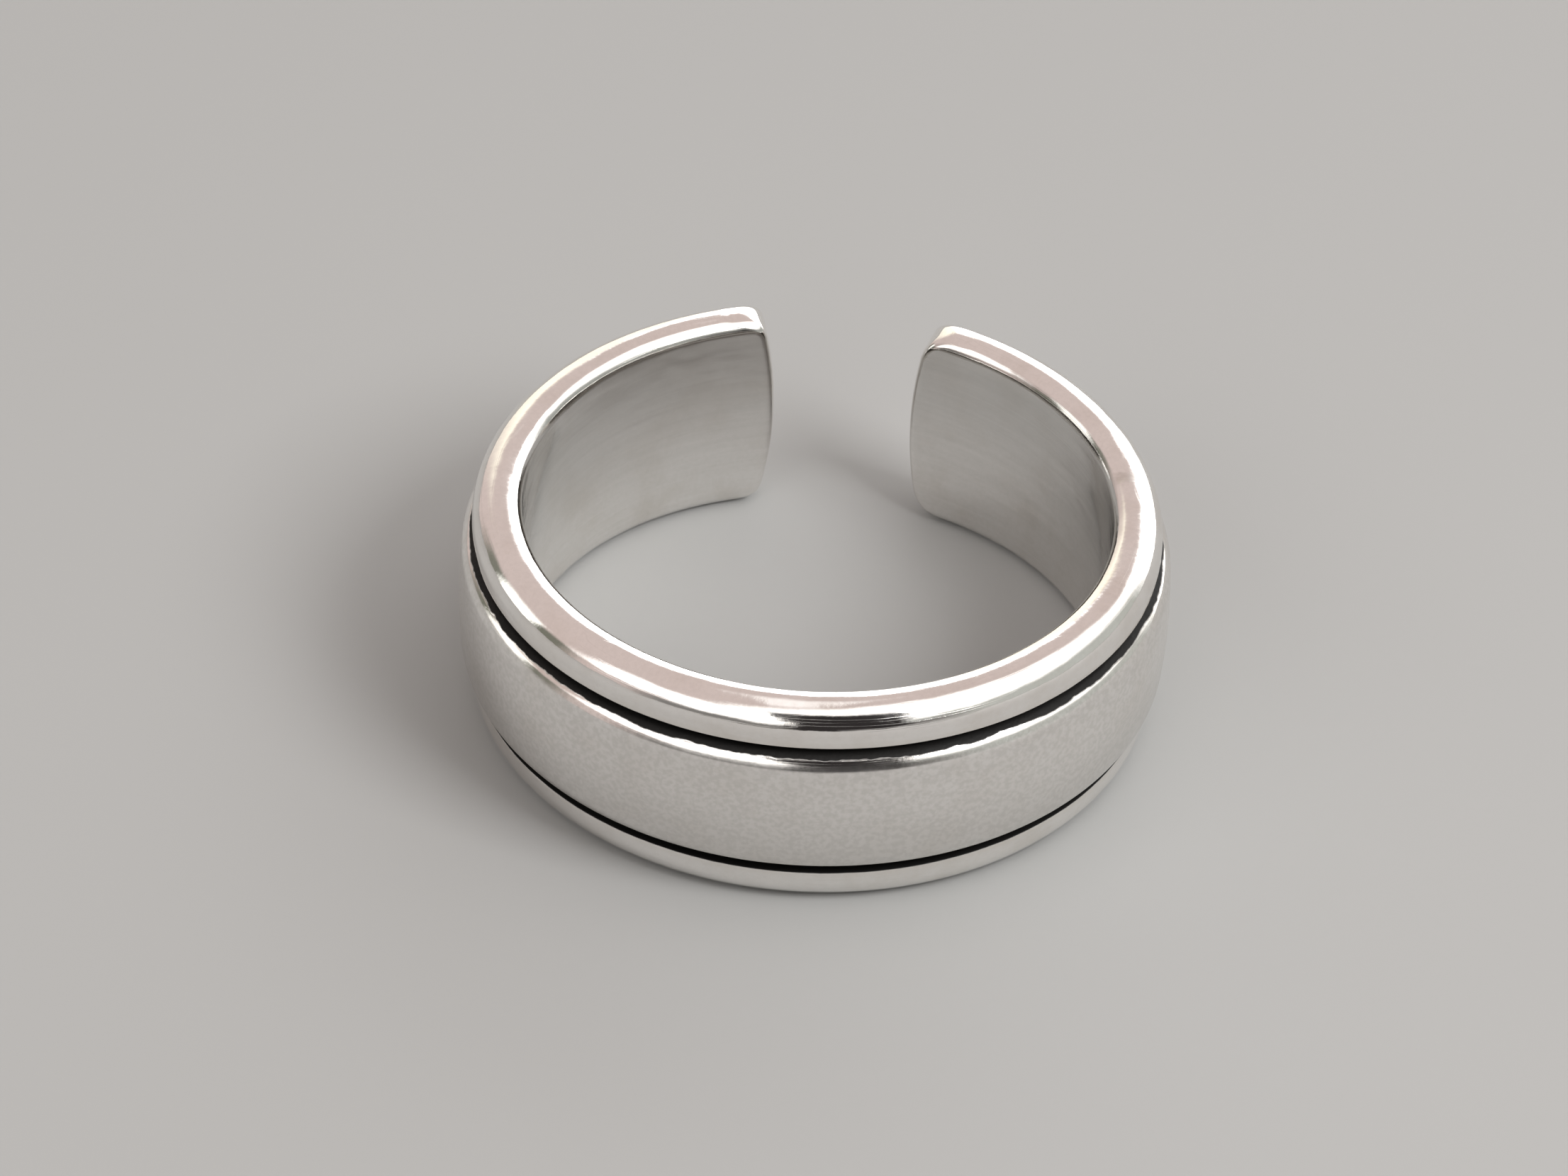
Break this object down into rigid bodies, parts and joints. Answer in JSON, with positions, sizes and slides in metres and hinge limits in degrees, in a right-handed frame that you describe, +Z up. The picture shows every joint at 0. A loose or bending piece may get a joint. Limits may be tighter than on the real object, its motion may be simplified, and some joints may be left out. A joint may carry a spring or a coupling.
{
  "type": "open band ring",
  "caption": "Open silver band ring with a wide domed face between two rounded rims, dark grooves beside the dome and a gap at the back.",
  "frame": {"origin": "centre of the ring's outline on the surface that it lies on; the ring's axis stands 0.15 mm behind it, because the outline stops at the two ends", "axes": "+Z up along the ring's axis as it lies on its side, -Y towards the middle of the domed face, +Y towards the gap between the ends, +X to the right of someone who looks at the face"},
  "size_m": [0.0206, 0.0203, 0.0068],
  "materials": {
    "silver": "polished sterling silver with fine wear scratches, blackened in the two grooves"
  },
  "bodies": {
    "root": {"band": "silver"}
  },
  "joints": []
}
